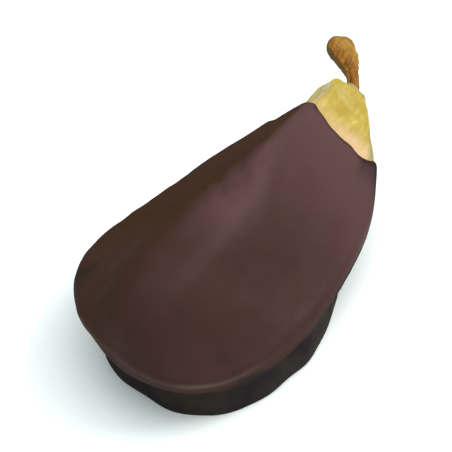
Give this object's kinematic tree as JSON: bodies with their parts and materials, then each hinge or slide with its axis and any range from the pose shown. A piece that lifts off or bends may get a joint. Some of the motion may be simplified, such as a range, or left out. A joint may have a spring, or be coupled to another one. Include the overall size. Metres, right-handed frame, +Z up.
{
  "type": "chocolate covered candied pear",
  "caption": "Wedge of candied pear with its stem, dipped in dark chocolate up to a bare neck and set on a flat chocolate foot.",
  "frame": {"origin": "middle of the box's bottom, on the floor under the piece", "axes": "+Z up; +Y along the pear's axis toward the stem; the broad cut face looks to +X and up"},
  "size_m": [0.0436, 0.0858, 0.0289],
  "materials": {
    "candied_flesh": "candied pear flesh, pale yellow, moist satin, slightly translucent",
    "dark_chocolate": "set dark chocolate, satin with a soft sheen",
    "stem_wood": "dry woody stem, matt brown"
  },
  "bodies": {
    "root": {"pear": "candied_flesh", "chocolate_coat": "dark_chocolate", "stem": "stem_wood"}
  },
  "joints": []
}
